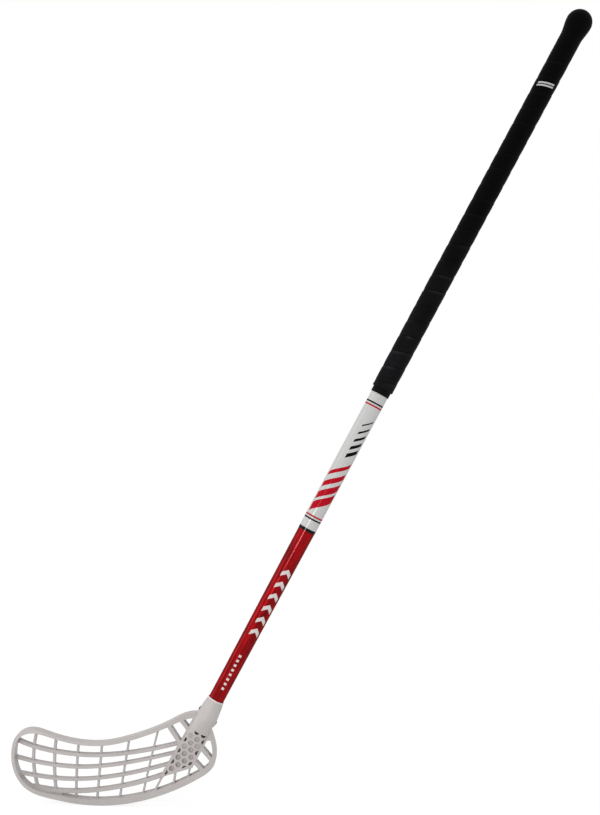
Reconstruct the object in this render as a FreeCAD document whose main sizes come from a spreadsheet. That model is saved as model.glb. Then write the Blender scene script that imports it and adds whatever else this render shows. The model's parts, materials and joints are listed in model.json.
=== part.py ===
import FreeCAD, Part
import math
import os

import Sketcher
from FreeCAD import Placement, Rotation, Vector

# Driving dimensions, in millimetres and degrees
SIZES = {
    # Shaft, along its own axis
    "lean_angle": 28.2,
    "socket_depth": 42.0,
    "red_length": 239.0,
    "stripe_width": 4.0,
    "film_length": 189.0,
    "band_width": 7.5,
    "grip_straight": 497.0,
    "tip_straight": 18.0,
    # Shaft, across its axis
    "tube_radius": 11.0,
    "tube_tip_radius": 9.8,
    "tube_wall": 1.6,
    "film_thickness": 0.25,
    "stripe_thickness": 0.2,
    "band_radius": 12.0,
    "grip_radius": 13.75,
    # Laps of the wound grip tape
    "lap_pitch": 21.5,
    "lap_turns": 22.0,
    "lap_lead": 8.7,
    "lap_groove_width": 2.6,
    "lap_groove_depth": 0.5,
    "lap_groove_overcut": 0.3,
    # Butt end
    "tube_overrun": 3.0,
    "flare_length": 23.0,
    "knob_radius": 16.5,
    "knob_wrap": 2.2,
    "button_radius": 7.0,
    "plug_stem": 28.0,
    # Blade socket and core
    "socket_clearance": 0.05,
    "neck_length": 28.0,
    "mouth_radius": 10.8,
    "root_radius": 14.2,
    "core_half_width": 14.0,
    "core_flare": 2.2,
    "core_inset": 0.7,
    "notch_half_width": 11.6,
    "notch_height": 6.0,
    "core_end_left": 118.0,
    "core_end_right": 88.0,
    # Blade plate
    "rim_depth": 12.5,
    "toe_extra_depth": 4.0,
    "bar_depth": 8.0,
    "rib_depth": 6.5,
    "web_depth": 7.2,
    "heel_rib_depth": 10.5,
    "top_bar_width": 4.2,
    "bar_width": 3.5,
    "low_bar_width": 4.6,
    "toe_rib_width": 3.2,
    "rib_width": 2.5,
    "brace_width": 4.9,
    "hook_depth": 20.0,
    "dish_depth": 5.0,
    # Pockets of the core
    "pocket_radius": 3.2,
    "pocket_pitch": 9.3,
    "pocket_border": 3.0,
    "pocket_start": 44.5,
    "pocket_depth": 2.6,
    # Blade screws
    "left_screw_drop": 19.5,
    "right_screw_drop": 26.6,
    "seat_sink": 1.2,
    "seat_clearance": 0.4,
    "head_radius": 2.9,
    "head_height": 2.0,
    "head_dome": 4.2,
    "core_thread_radius": 1.45,
    "thread_radius": 1.9,
    "thread_pitch": 1.4,
    "thread_clearance": 0.08,
    "screw_length": 9.0,
    "screw_point": 1.8,
    "drive_width": 0.9,
    "drive_span": 3.2,
    "drive_depth": 1.2,
    "plain_shank": 1.0,
}

doc = FreeCAD.newDocument("floorball_stick")
sheet = doc.addObject("Spreadsheet::Sheet", "sizes")
for row, (alias, value) in enumerate(SIZES.items(), start=1):
    sheet.set(f"A{row}", alias)
    sheet.set(f"B{row}", str(value))
    sheet.setAlias(f"B{row}", alias)
doc.recompute()


class Dim:
    """A length that carries its number and the expression that drives it."""

    def __init__(self, number, text):
        self.number = number
        self.text = text

    def __add__(self, other):
        return Dim(self.number + other.number, f"({self.text} + {other.text})")

    def __sub__(self, other):
        return Dim(self.number - other.number, f"({self.text} - {other.text})")

    def __neg__(self):
        return Dim(-self.number, f"(-{self.text})")

    def half(self):
        return Dim(self.number / 2, f"({self.text} / 2)")


ZERO = Dim(0.0, "0")


def dim(name):
    return Dim(float(sheet.get(name)), f"sizes.{name}")


def size(name):
    return dim(name).number


# Heights along the shaft axis, from the middle of the straight grip
GRIP_TOP = dim("grip_straight").half()
GRIP_BOTTOM = -GRIP_TOP
BAND_BOTTOM = GRIP_BOTTOM - dim("band_width")
FILM_BOTTOM = BAND_BOTTOM - dim("film_length")
STRIPE_BOTTOM = FILM_BOTTOM - dim("stripe_width")
MOUTH = STRIPE_BOTTOM - dim("red_length")
TUBE_BOTTOM = MOUTH - dim("socket_depth")
TUBE_TOP = GRIP_TOP + dim("tube_overrun")
KNOB_CENTRE = GRIP_TOP + dim("flare_length")

UP_THE_SHAFT = Rotation(Vector(0, 1, 0), size("lean_angle"))
IN_SHAFT_FRAME = Placement(Vector(), UP_THE_SHAFT)


def origin_plane(body, role):
    return next(item for item in body.Origin.OriginFeatures if item.Role == role)


def new_sketch(body, name, role):
    sketch = body.newObject("Sketcher::SketchObject", name)
    sketch.AttachmentSupport = [(origin_plane(body, role), "")]
    sketch.MapMode = "FlatFace"
    return sketch


def drive(sketch, kind, geometry, position, length):
    """Hold one coordinate of a sketch point by an expression."""
    if length.text == ZERO.text:
        axis = -2 if kind == "DistanceX" else -1
        sketch.addConstraint(Sketcher.Constraint("PointOnObject", geometry, position, axis))
        return
    constraint = Sketcher.Constraint(kind, -1, 1, geometry, position, length.number)
    index = sketch.addConstraint(constraint)
    sketch.setExpression(f"Constraints[{index}]", length.text)


class Arc:
    """A profile stretch on a circle centred on the turning axis."""

    def __init__(self, centre, radius, outward):
        self.centre = centre
        self.radius = radius
        self.outward = outward

    def height_at(self, radius):
        return self.centre.number + math.sqrt(self.radius.number ** 2 - radius.number ** 2)


def turned_body(label, corners):
    """Turn a closed profile about Z; a corner is (radius, height, arc to the next corner or None).

    A height of None lies on the arc that meets the corner.
    """
    body = doc.addObject("PartDesign::Body", label)
    body.Label = label
    sketch = new_sketch(body, f"{label}_profile", "XZ_Plane")
    count = len(corners)
    points = []
    for index, (radius, height, arc) in enumerate(corners):
        meeting = arc or corners[index - 1][2]
        level = height.number if height else meeting.height_at(radius)
        points.append(Vector(radius.number, level, 0))
    ends = []
    for index, (radius, height, arc) in enumerate(corners):
        start = points[index]
        stop = points[(index + 1) % count]
        if arc is None:
            geometry = sketch.addGeometry(Part.LineSegment(start, stop))
            ends.append((geometry, 1, 2))
            continue
        centre = Vector(0, arc.centre.number, 0)
        circle = Part.Circle(centre, Vector(0, 0, 1), arc.radius.number)
        angles = [math.atan2(point.y - centre.y, point.x) for point in (start, stop)]
        geometry = sketch.addGeometry(Part.ArcOfCircle(circle, min(angles), max(angles)))
        ends.append((geometry, 2, 1) if arc.outward else (geometry, 1, 2))
        drive(sketch, "DistanceX", geometry, 3, ZERO)
        drive(sketch, "DistanceY", geometry, 3, arc.centre)
        index = sketch.addConstraint(Sketcher.Constraint("Radius", geometry, arc.radius.number))
        sketch.setExpression(f"Constraints[{index}]", arc.radius.text)
    for index in range(count):
        here = ends[index]
        after = ends[(index + 1) % count]
        sketch.addConstraint(Sketcher.Constraint("Coincident", here[0], here[2], after[0], after[1]))
    for index, (radius, height, arc) in enumerate(corners):
        geometry, start, _ = ends[index]
        before = corners[index - 1][2]
        round_corner = arc or before
        on_equator = round_corner and radius.text == round_corner.radius.text
        on_axis = round_corner and radius.text == ZERO.text
        if not on_equator:
            drive(sketch, "DistanceX", geometry, start, radius)
        if height is not None and not on_axis:
            drive(sketch, "DistanceY", geometry, start, height)
    turning = body.newObject("PartDesign::Revolution", f"{label}_turning")
    turning.Profile = sketch
    turning.ReferenceAxis = (sketch, ["V_Axis"])
    turning.Angle = 360
    body.Tip = turning
    return body


def closed_polygon(sketch, corners):
    """Closed run of straight lines whose corners are pairs of driven lengths."""
    count = len(corners)
    points = [Vector(x.number, y.number, 0) for x, y in corners]
    following = points[1:] + points[:1]
    lines = [sketch.addGeometry(Part.LineSegment(*pair)) for pair in zip(points, following)]
    for index, line in enumerate(lines):
        after = lines[(index + 1) % count]
        sketch.addConstraint(Sketcher.Constraint("Coincident", line, 2, after, 1))
    for line, (x, y) in zip(lines, corners):
        drive(sketch, "DistanceX", line, 1, x)
        drive(sketch, "DistanceY", line, 1, y)


def ring(label, inner, outer, bottom, top):
    return turned_body(label, [
        (outer, bottom, None),
        (outer, top, None),
        (inner, top, None),
        (inner, bottom, None),
    ])


def side_hole(body, name, radius, drop, towards_plus_x):
    """Cut a round hole through one wall of the tube, square to its axis."""
    sketch = new_sketch(body, f"{name}_circle", "YZ_Plane")
    level = MOUTH - drop
    circle = Part.Circle(Vector(0, level.number, 0), Vector(0, 0, 1), radius.number)
    geometry = sketch.addGeometry(circle)
    drive(sketch, "DistanceX", geometry, 3, ZERO)
    drive(sketch, "DistanceY", geometry, 3, level)
    index = sketch.addConstraint(Sketcher.Constraint("Radius", geometry, radius.number))
    sketch.setExpression(f"Constraints[{index}]", radius.text)
    before = body.Shape.Volume
    hole = body.newObject("PartDesign::Pocket", name)
    hole.Profile = sketch
    hole.Type = "Length"
    hole.setExpression("Length", "2 * sizes.tube_radius")
    hole.Reversed = towards_plus_x
    body.Tip = hole
    doc.recompute()
    if body.Shape.Volume >= before:
        raise RuntimeError(f"{name} removes nothing")


# Shaft tube: straight tip for the socket, taper under the red lacquer, straight upper part
tube_radius = dim("tube_radius")
tip_radius = dim("tube_tip_radius")
wall = dim("tube_wall")
tip_top = MOUTH + dim("tip_straight")
tube = turned_body("shaft_tube", [
    (tip_radius, TUBE_BOTTOM, None),
    (tip_radius, tip_top, None),
    (tube_radius, STRIPE_BOTTOM, None),
    (tube_radius, TUBE_TOP, None),
    (tube_radius - wall, TUBE_TOP, None),
    (tube_radius - wall, STRIPE_BOTTOM, None),
    (tip_radius - wall, tip_top, None),
    (tip_radius - wall, TUBE_BOTTOM, None),
])
doc.recompute()
hole_radius = dim("thread_radius") + dim("thread_clearance")
side_hole(tube, "left_screw_hole", hole_radius, dim("left_screw_drop"), False)
side_hole(tube, "right_screw_hole", hole_radius, dim("right_screw_drop"), True)

# Thin sleeves on the upper shaft
film_radius = tube_radius + dim("film_thickness")
stripe_radius = tube_radius + dim("stripe_thickness")
film = ring("white_film_sleeve", tube_radius, film_radius, FILM_BOTTOM, BAND_BOTTOM)
stripe = ring("stripe_tape", tube_radius, stripe_radius, STRIPE_BOTTOM, FILM_BOTTOM)
band = ring("grip_finishing_band", tube_radius, dim("band_radius"), BAND_BOTTOM, GRIP_BOTTOM)

# Butt plug: stem in the tube, swelling under the wrap, button that stays bare
knob_radius = dim("knob_radius")
core_radius = knob_radius - dim("knob_wrap")
button_radius = dim("button_radius")
wrap_dome = Arc(KNOB_CENTRE, knob_radius, False)
core_dome = Arc(KNOB_CENTRE, core_radius, False)
core_dome_back = Arc(KNOB_CENTRE, core_radius, True)
plug = turned_body("butt_plug", [
    (ZERO, TUBE_TOP - dim("plug_stem"), None),
    (tube_radius - wall, TUBE_TOP - dim("plug_stem"), None),
    (tube_radius - wall, TUBE_TOP, None),
    (tube_radius, TUBE_TOP, None),
    (core_radius, KNOB_CENTRE, core_dome),
    (button_radius, None, None),
    (button_radius, None, wrap_dome),
    (ZERO, None, None),
])

# Grip wrap: straight sleeve that runs out over the butt plug to its button
grip = turned_body("grip_wrap", [
    (dim("grip_radius"), GRIP_BOTTOM, None),
    (dim("grip_radius"), GRIP_TOP, None),
    (knob_radius, KNOB_CENTRE, wrap_dome),
    (button_radius, None, None),
    (button_radius, None, core_dome_back),
    (core_radius, KNOB_CENTRE, None),
    (tube_radius, TUBE_TOP, None),
    (tube_radius, GRIP_BOTTOM, None),
])

# Laps of the wound tape: a shallow groove that climbs the straight grip
lap_outline = new_sketch(grip, "grip_lap_outline", "XZ_Plane")
lap_start = GRIP_BOTTOM - dim("lap_lead")
lap_outside = dim("grip_radius") + dim("lap_groove_overcut")
lap_floor = dim("grip_radius") - dim("lap_groove_depth")
closed_polygon(lap_outline, [
    (lap_outside, lap_start),
    (lap_outside, lap_start + dim("lap_groove_width")),
    (lap_floor, lap_start + dim("lap_groove_width").half()),
])
laps = grip.newObject("PartDesign::SubtractiveHelix", "grip_laps")
laps.Profile = lap_outline
laps.ReferenceAxis = (lap_outline, ["V_Axis"])
laps.Mode = "pitch-height-angle"
laps.setExpression("Pitch", "sizes.lap_pitch")
laps.setExpression("Height", "sizes.lap_pitch * sizes.lap_turns")
grip.Tip = laps


def neck_radius(drop):
    """Outer radius of the round neck at a level below the socket mouth."""
    share = drop / size("neck_length")
    return size("mouth_radius") + (size("root_radius") - size("mouth_radius")) * share


def seat_distance(drop):
    """Distance of a screw's seat from the shaft axis."""
    return neck_radius(drop) - size("seat_sink")


def screw(label, drop, side):
    """Pan-head tapping screw; side is +1 or -1 along the shaft frame's X."""
    head_height = dim("head_height")
    head_dome = Arc(head_height - dim("head_dome"), dim("head_dome"), False)
    core = dim("core_thread_radius")
    shoulder = dim("screw_point") - dim("screw_length")
    body = turned_body(label, [
        (ZERO, -dim("screw_length"), None),
        (core, shoulder, None),
        (core, ZERO, None),
        (dim("head_radius"), ZERO, None),
        (dim("head_radius"), None, head_dome),
        (ZERO, None, None),
    ])
    thread_outline = new_sketch(body, f"{label}_thread_outline", "XZ_Plane")
    root = dim("core_thread_radius") - dim("thread_clearance")
    flank = dim("thread_pitch").half().half()
    crest = shoulder + flank
    triangle = [(root, shoulder), (dim("thread_radius"), crest), (root, crest + flank)]
    closed_polygon(thread_outline, triangle)
    thread = body.newObject("PartDesign::AdditiveHelix", f"{label}_thread")
    thread.Profile = thread_outline
    thread.ReferenceAxis = (thread_outline, ["V_Axis"])
    thread.Mode = "pitch-height-angle"
    thread.setExpression("Pitch", "sizes.thread_pitch")
    thread.setExpression(
        "Height",
        "sizes.screw_length - sizes.screw_point - sizes.plain_shank - sizes.thread_pitch / 2",
    )
    body.Tip = thread
    cross = new_sketch(body, f"{label}_drive_outline", "XY_Plane")
    cross.setExpression("AttachmentOffset.Base.z", "sizes.head_height")
    arm = dim("drive_width").half()
    tip = dim("drive_span").half()
    quarter = [(tip, -arm), (tip, arm), (arm, arm)]
    corners = []
    for _ in range(4):
        corners += quarter
        quarter = [(-y, x) for x, y in quarter]
    closed_polygon(cross, corners)
    doc.recompute()
    before = body.Shape.Volume
    recess = body.newObject("PartDesign::Pocket", f"{label}_drive")
    recess.Profile = cross
    recess.Type = "Length"
    recess.setExpression("Length", "sizes.drive_depth")
    body.Tip = recess
    doc.recompute()
    if body.Shape.Volume >= before:
        raise RuntimeError(f"{label} has no drive recess")
    seat = Vector(side * seat_distance(drop), 0, MOUTH.number - drop)
    outward = Rotation(Vector(0, 1, 0), side * 90)
    body.Placement = IN_SHAFT_FRAME * Placement(seat, outward)
    return body


left_screw = screw("blade_screw_left", size("left_screw_drop"), -1)
right_screw = screw("blade_screw_right", size("right_screw_drop"), 1)

for body in (tube, film, stripe, band, plug, grip):
    body.Placement = IN_SHAFT_FRAME

# Blade outline from the neck over the top edge, the toe, the bottom and the heel:
# X, Z from the socket mouth, and the width of the rim there
OUTLINE = [
    (-24.0, -15.5, 6.5), (-40.0, -18.1, 6.4), (-58.5, -27.0, 5.5), (-84.0, -38.3, 4.9),
    (-109.0, -46.7, 4.8), (-134.5, -53.0, 4.3), (-160.0, -54.6, 4.0), (-186.0, -52.0, 3.6),
    (-213.0, -45.7, 3.4), (-235.5, -41.5, 4.6), (-251.5, -47.8, 4.9), (-258.8, -70.0, 4.3),
    (-254.5, -95.0, 4.2), (-240.0, -115.0, 4.8), (-209.6, -126.6, 6.0), (-158.5, -133.6, 7.5),
    (-107.0, -129.1, 8.0), (-57.0, -114.4, 7.8), (-19.6, -96.5, 7.5), (-3.2, -82.6, 6.6),
    (0.5, -64.0, 5.0), (-1.2, -53.0, 4.8), (-6.0, -37.5, 3.9),
]

# Centre lines of the lengthwise bars, toe end first
TOP_BAR = [
    (-256.0, -55.5), (-236.0, -62.6), (-201.0, -69.2),
    (-159.0, -71.9), (-113.0, -68.4), (-40.0, -53.2),
]
BARS = [
    [(-256.0, -77.5), (-232.0, -82.3), (-203.5, -85.8), (-170.0, -87.0), (-133.5, -83.8), (-46.0, -65.7)],
    [(-253.0, -97.2), (-232.0, -99.9), (-204.0, -102.5), (-165.0, -102.0), (-134.0, -98.3), (-52.0, -78.8)],
]
LOW_BAR = [
    (-242.0, -113.6), (-205.7, -118.2), (-176.0, -118.1),
    (-134.0, -112.9), (-83.0, -100.3), (-60.0, -92.0),
]

# Centre lines of the cross ribs, upper end first
TOE_RIBS = [
    [(-228.5, -44.0), (-232.4, -77.0), (-226.8, -116.0)],
    [(-203.0, -49.5), (-205.0, -82.0), (-203.3, -118.0)],
]
RIBS = [
    [(-174.0, -55.5), (-176.2, -91.0), (-177.5, -129.0)],
    [(-144.0, -56.0), (-146.5, -87.7), (-150.8, -130.0)],
    [(-108.9, -48.5), (-114.9, -84.4), (-121.6, -127.0)],
    [(-71.8, -35.0), (-81.6, -74.0), (-92.6, -122.5)],
]
HEEL_RIBS = [
    [(-66.0, -94.0), (-78.2, -117.5)],
    [(-50.8, -90.0), (-53.6, -109.0)],
    [(-32.3, -84.0), (-36.0, -101.0)],
]

# Centre lines of the full-depth braces beside the core, core end last
BRACES = [
    [(-44.5, -23.3), (-31.0, -41.0)],
    [(-60.0, -30.5), (-44.0, -54.9)],
    [(-3.0, -77.8), (-20.0, -57.7)],
    [(-16.0, -88.5), (-29.0, -74.5)],
]

# Full-depth gusset between the core and the heel rim
HEEL_GUSSET = [(-14.0, -37.0), (-5.0, -37.0), (-1.0, -50.4), (-14.0, -50.4)]

# Closed web between the lowest bar and the rim at the toe
TOE_WEB = [(-238.0, -112.0), (-195.0, -117.0), (-195.0, -127.0), (-238.0, -117.5)]

# Reach of the cutting tools beyond the plate
FAR = 80.0

# Sheet of points that the hollow faces run through, from the socket mouth
SHEET_X = (-290.0, 40.0)
SHEET_Z = (-165.0, 40.0)
GRID_STEPS_X = 24
GRID_STEPS_Z = 8

# Hook towards the toe and dish across the height
HOOK_START = 45.0
HOOK_REACH = 214.0
DISH_MIDDLE = -88.0
DISH_HALF_HEIGHT = 45.0
DISH_RAMP = 90.0

# Sections of the neck and the core
NECK_SECTIONS = 4
CORE_SECTIONS = 6
SECTION_POINTS = 24
CORE_SQUARENESS = 1.6

# Notch beside the heel
NOTCH_DROP = 1.5
NOTCH_REACH = 6.0

# Lattice of the core's pockets; a cell's share inside the border makes it a pocket or a whole one
FIRST_POCKET = (-31.0, 0.0, -43.0)
POCKET_COLUMNS = range(-5, 4)
POCKET_ROWS = range(-2, 7)
LATTICE_ANGLE = 30.0
SMALLEST_CELL = 0.25
WHOLE_CELL = 0.9


def stations(first, last, steps):
    return [first + (last - first) * i / steps for i in range(steps + 1)]


def hollow_depth(x, z, hook_depth):
    """Depth behind the shaft axis of a face with a hook towards the toe and a dish across its height."""
    reach = max(0.0, -x - HOOK_START)
    hook = hook_depth * (reach / HOOK_REACH) ** 2
    ramp = 1.0 - math.exp(-((reach / DISH_RAMP) ** 2))
    dish = size("dish_depth") * ramp * ((z - DISH_MIDDLE) / DISH_HALF_HEIGHT) ** 2
    return size("rim_depth") / 2 + hook + dish


def hollow_face(hook_depth):
    rows = []
    for x in stations(*SHEET_X, GRID_STEPS_X):
        levels = stations(*SHEET_Z, GRID_STEPS_Z)
        rows.append([Vector(x, hollow_depth(x, z, hook_depth), z) for z in levels])
    surface = Part.BSplineSurface()
    surface.interpolate(rows)
    return surface.toShape()


def spline(points):
    curve = Part.BSplineCurve()
    curve.interpolate(points)
    return curve


def in_plane(pairs):
    return [Vector(x, 0, z) for x, z in pairs]


def left_normals(points):
    """Unit normals on the left of a smooth run of points, in the XZ plane."""
    if len(points) == 2:
        tangents = [points[1] - points[0]] * 2
    else:
        curve = spline(points)
        tangents = [curve.tangent(curve.parameter(point))[0] for point in points]
    return [Vector(-t.z, 0, t.x).normalize() for t in tangents]


def ribbon(pairs, width):
    """Flat strip of constant width along a centre line."""
    points = in_plane(pairs)
    normals = left_normals(points)
    left = [point + normal * (width / 2) for point, normal in zip(points, normals)]
    right = [point - normal * (width / 2) for point, normal in zip(points, normals)]
    if len(points) == 2:
        return Part.Face(Part.makePolygon(left + right[::-1] + left[:1]))
    sides = [spline(left).toShape(), spline(right).toShape()]
    caps = [Part.makeLine(left[0], right[0]), Part.makeLine(left[-1], right[-1])]
    return Part.Face(Part.Wire(Part.__sortEdges__(sides + caps)))


def closed_curve_face(points):
    edge = spline(points).toShape()
    return Part.Face(Part.Wire([edge, Part.makeLine(points[-1], points[0])]))


def prism(face):
    moved = face.copy()
    moved.translate(Vector(0, -FAR, 0))
    return moved.extrude(Vector(0, 2 * FAR, 0))


def trimmed(flat_faces, back, depth):
    """Prisms of flat faces, cut off in front at a depth measured from a hollow back."""
    front = back.copy()
    front.translate(Vector(0, -depth, 0))
    front_block = front.extrude(Vector(0, -3 * FAR, 0))
    return [prism(face).cut(front_block) for face in flat_faces]


def core_point(across, down):
    """Point of the blade plane by its distance from the shaft axis and from the socket mouth."""
    return UP_THE_SHAFT.multVec(Vector(across, 0, -down))


def core_polygon(margin, start):
    half = size("core_half_width") - margin
    left_end = size("core_end_left") - margin
    right_end = size("core_end_right") - margin
    return [
        core_point(-half, start),
        core_point(-half - size("core_flare"), left_end),
        core_point(half, right_end),
        core_point(half, start),
    ]


def polygon_face(points):
    return Part.Face(Part.makePolygon(points + points[:1]))


def core_share(down):
    """How far down the core a level lies: 0 at the root of the socket, 1 at the core's end."""
    share = (down - size("neck_length")) / (size("core_end_right") - size("neck_length"))
    return min(1.0, max(0.0, share))


def core_half_depth(down):
    """Half depth of the core: the socket's radius that eases off into the depth of the plate."""
    thin = size("rim_depth") / 2 - size("core_inset")
    return thin + (size("root_radius") - thin) * (1 + math.cos(math.pi * core_share(down))) / 2


def neck_section(down):
    """Section square to the shaft axis: round at the socket, squarer and flatter further down."""
    share = core_share(down)
    squareness = 2.0 + CORE_SQUARENESS * share
    narrow = size("core_half_width") - size("core_inset")
    half_width = size("root_radius") + (narrow - size("root_radius")) * share
    half_depth = core_half_depth(down)
    if down < size("neck_length"):
        half_width = half_depth = neck_radius(down)
    points = []
    for step in range(SECTION_POINTS):
        angle = 2 * math.pi * step / SECTION_POINTS
        wide = math.copysign(abs(math.cos(angle)) ** (2 / squareness), math.cos(angle))
        deep = math.copysign(abs(math.sin(angle)) ** (2 / squareness), math.sin(angle))
        points.append(Vector(half_width * wide, half_depth * deep, -down))
    curve = Part.BSplineCurve()
    curve.interpolate(points, PeriodicFlag=True)
    return Part.Wire([curve.toShape()])


def neck_solid():
    root = size("neck_length")
    levels = stations(0.0, root, NECK_SECTIONS)[:-1]
    levels += stations(root, size("core_end_right"), CORE_SECTIONS)
    solid = Part.makeLoft([neck_section(level) for level in levels], True, False)
    solid.Placement = IN_SHAFT_FRAME
    return solid


def notch_tool():
    """Notch between the root of the socket and the heel, on the heel's side only."""
    top = size("neck_length") + NOTCH_DROP
    outside = size("root_radius") + NOTCH_REACH
    corners = [
        core_point(outside, top - NOTCH_DROP),
        core_point(size("root_radius") + NOTCH_DROP, top - NOTCH_DROP),
        core_point(size("notch_half_width"), top + size("notch_height") / 2),
        core_point(size("notch_half_width"), top + size("notch_height")),
        core_point(outside, top + 2 * size("notch_height")),
    ]
    return prism(polygon_face(corners))


def pocket_solids():
    """Round blind pockets on a staggered lattice, deep where the border clips them."""
    pitch = size("pocket_pitch")
    step = pitch * math.cos(math.radians(LATTICE_ANGLE))
    zone = polygon_face(core_polygon(size("pocket_border"), size("pocket_start")))
    first = Vector(*FIRST_POCKET)
    pockets = []
    for column in POCKET_COLUMNS:
        shift = pitch / 2 if column % 2 else 0.0
        for row in POCKET_ROWS:
            centre = first + Vector(column * step, 0, -row * pitch - shift)
            circle = Part.makeCircle(size("pocket_radius"), centre, Vector(0, 1, 0))
            cell = Part.Face(Part.Wire(circle))
            clipped = cell.common(zone)
            if not clipped.Faces or clipped.Area < SMALLEST_CELL * cell.Area:
                continue
            down = -UP_THE_SHAFT.inverted().multVec(centre).z
            whole = clipped.Area > WHOLE_CELL * cell.Area
            floor = size("pocket_depth") - core_half_depth(down) if whole else 0.0
            tool = clipped.Faces[0].copy()
            tool.translate(Vector(0, floor, 0))
            pockets.append(tool.extrude(Vector(0, -FAR, 0)))
    return pockets


def socket_tools():
    """Bore of the socket, and the seats and holes of both screws."""
    bore_radius = size("tube_tip_radius") + size("socket_clearance")
    depth = size("socket_depth")
    reach = size("root_radius")
    head_room = size("head_radius") + size("seat_clearance")
    tools = [Part.makeCylinder(bore_radius, depth, Vector(0, 0, -depth))]
    for drop, side in ((size("left_screw_drop"), -1), (size("right_screw_drop"), 1)):
        outward = Vector(side, 0, 0)
        on_axis = Vector(0, 0, -drop)
        seat = on_axis + outward * seat_distance(drop)
        tools.append(Part.makeCylinder(head_room, reach, seat, outward))
        tools.append(Part.makeCylinder(hole_radius.number, reach, on_axis, outward))
    for tool in tools:
        tool.Placement = IN_SHAFT_FRAME * tool.Placement
    return tools


def blade_shape():
    back = hollow_face(size("hook_depth"))
    rim_back = hollow_face(size("hook_depth") - size("toe_extra_depth"))
    edge_points = in_plane([(x, z) for x, z, width in OUTLINE])
    rim_widths = [width for x, z, width in OUTLINE]
    inward = left_normals(edge_points)
    inner_points = [p + n * width for p, n, width in zip(edge_points, inward, rim_widths)]
    plate = closed_curve_face(edge_points)
    rim = plate.cut(closed_curve_face(inner_points))

    def in_plate(pieces):
        return [face for piece in pieces for face in piece.common(plate).Faces]

    def strips(lines, width):
        return in_plate([ribbon(line, width) for line in lines])

    core = in_plate([polygon_face(core_polygon(0.0, size("neck_length")))])
    gusset = in_plate([polygon_face(in_plane(HEEL_GUSSET))])
    web = in_plate([polygon_face(in_plane(TOE_WEB))])
    full_depth = rim.Faces + core + strips(BRACES, size("brace_width")) + gusset
    bars = strips([TOP_BAR], size("top_bar_width")) + strips(BARS, size("bar_width"))
    bars += strips([LOW_BAR], size("low_bar_width"))
    ribs = strips(TOE_RIBS, size("toe_rib_width")) + strips(RIBS, size("rib_width"))
    pieces = trimmed(full_depth, rim_back, size("rim_depth"))
    pieces += trimmed(bars, back, size("bar_depth"))
    pieces += trimmed(ribs, back, size("rib_depth"))
    pieces += trimmed(strips(HEEL_RIBS, size("rib_width")), back, size("heel_rib_depth"))
    pieces += trimmed(web, back, size("web_depth"))
    solid = pieces[0].multiFuse(pieces[1:])
    solid = solid.cut(back.extrude(Vector(0, 3 * FAR, 0)))
    solid = solid.fuse(neck_solid())
    solid = solid.cut(socket_tools() + [notch_tool()])
    return solid.cut(pocket_solids()).Solids[0]


blade = doc.addObject("Part::Feature", "blade")
blade.Label = "blade"
blade.Shape = blade_shape()
blade.Placement = Placement(UP_THE_SHAFT.multVec(Vector(0, 0, MOUTH.number)), Rotation())

doc.recompute()
NODES = [tube, film, stripe, band, plug, grip, left_screw, right_screw, blade]
for item in doc.Objects:
    if "Invalid" in item.State or "Error" in item.State:
        raise RuntimeError(f"{item.Label} did not build")
os.makedirs("parts", exist_ok=True)
for node in NODES:
    if node.Shape.isNull() or not node.Shape.isValid():
        raise RuntimeError(f"{node.Label} has no valid shape")
    node.Shape.exportStep(f"parts/{node.Label}.step")
    print(node.Label, len(node.Shape.Solids), round(node.Shape.Volume, 1))
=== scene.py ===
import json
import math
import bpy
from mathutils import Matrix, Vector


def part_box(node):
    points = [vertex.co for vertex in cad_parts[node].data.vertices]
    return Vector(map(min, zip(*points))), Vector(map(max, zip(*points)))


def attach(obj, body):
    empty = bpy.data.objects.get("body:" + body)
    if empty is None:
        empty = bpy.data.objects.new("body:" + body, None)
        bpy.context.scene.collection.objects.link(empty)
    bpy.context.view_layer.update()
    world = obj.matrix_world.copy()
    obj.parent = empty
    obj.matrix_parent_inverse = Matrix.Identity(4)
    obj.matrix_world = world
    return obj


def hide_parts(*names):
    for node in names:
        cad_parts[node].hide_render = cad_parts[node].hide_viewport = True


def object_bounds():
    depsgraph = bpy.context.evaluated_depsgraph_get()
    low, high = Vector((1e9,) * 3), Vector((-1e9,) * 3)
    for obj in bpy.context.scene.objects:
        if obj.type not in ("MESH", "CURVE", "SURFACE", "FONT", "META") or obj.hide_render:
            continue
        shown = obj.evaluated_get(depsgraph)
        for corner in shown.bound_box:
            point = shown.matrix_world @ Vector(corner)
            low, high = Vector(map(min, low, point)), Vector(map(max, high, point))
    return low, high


bl_info = {
    "name": "Floorball stick looks",
    "version": (1, 0, 0),
    "blender": (4, 5, 0),
    "location": "View3D > Sidebar > Stick",
    "description": "Wound grip, finishes and studio for a floorball stick",
    "category": "Object",
}

import bmesh
import bpy
from bpy.props import FloatProperty, FloatVectorProperty, IntProperty, PointerProperty
from mathutils import Matrix, Vector

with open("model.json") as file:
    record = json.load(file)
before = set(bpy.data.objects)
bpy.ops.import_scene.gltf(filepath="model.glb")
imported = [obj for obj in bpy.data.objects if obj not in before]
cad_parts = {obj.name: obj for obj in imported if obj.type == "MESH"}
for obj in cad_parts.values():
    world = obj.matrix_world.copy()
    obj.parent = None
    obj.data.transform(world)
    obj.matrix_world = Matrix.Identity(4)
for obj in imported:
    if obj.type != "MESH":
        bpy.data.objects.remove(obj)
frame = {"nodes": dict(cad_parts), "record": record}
NODES = frame["nodes"]
CAD_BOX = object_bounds()
MOUNTS = {mount["name"]: mount for mount in frame["record"]["mounts"]}
MM = 0.001

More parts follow.
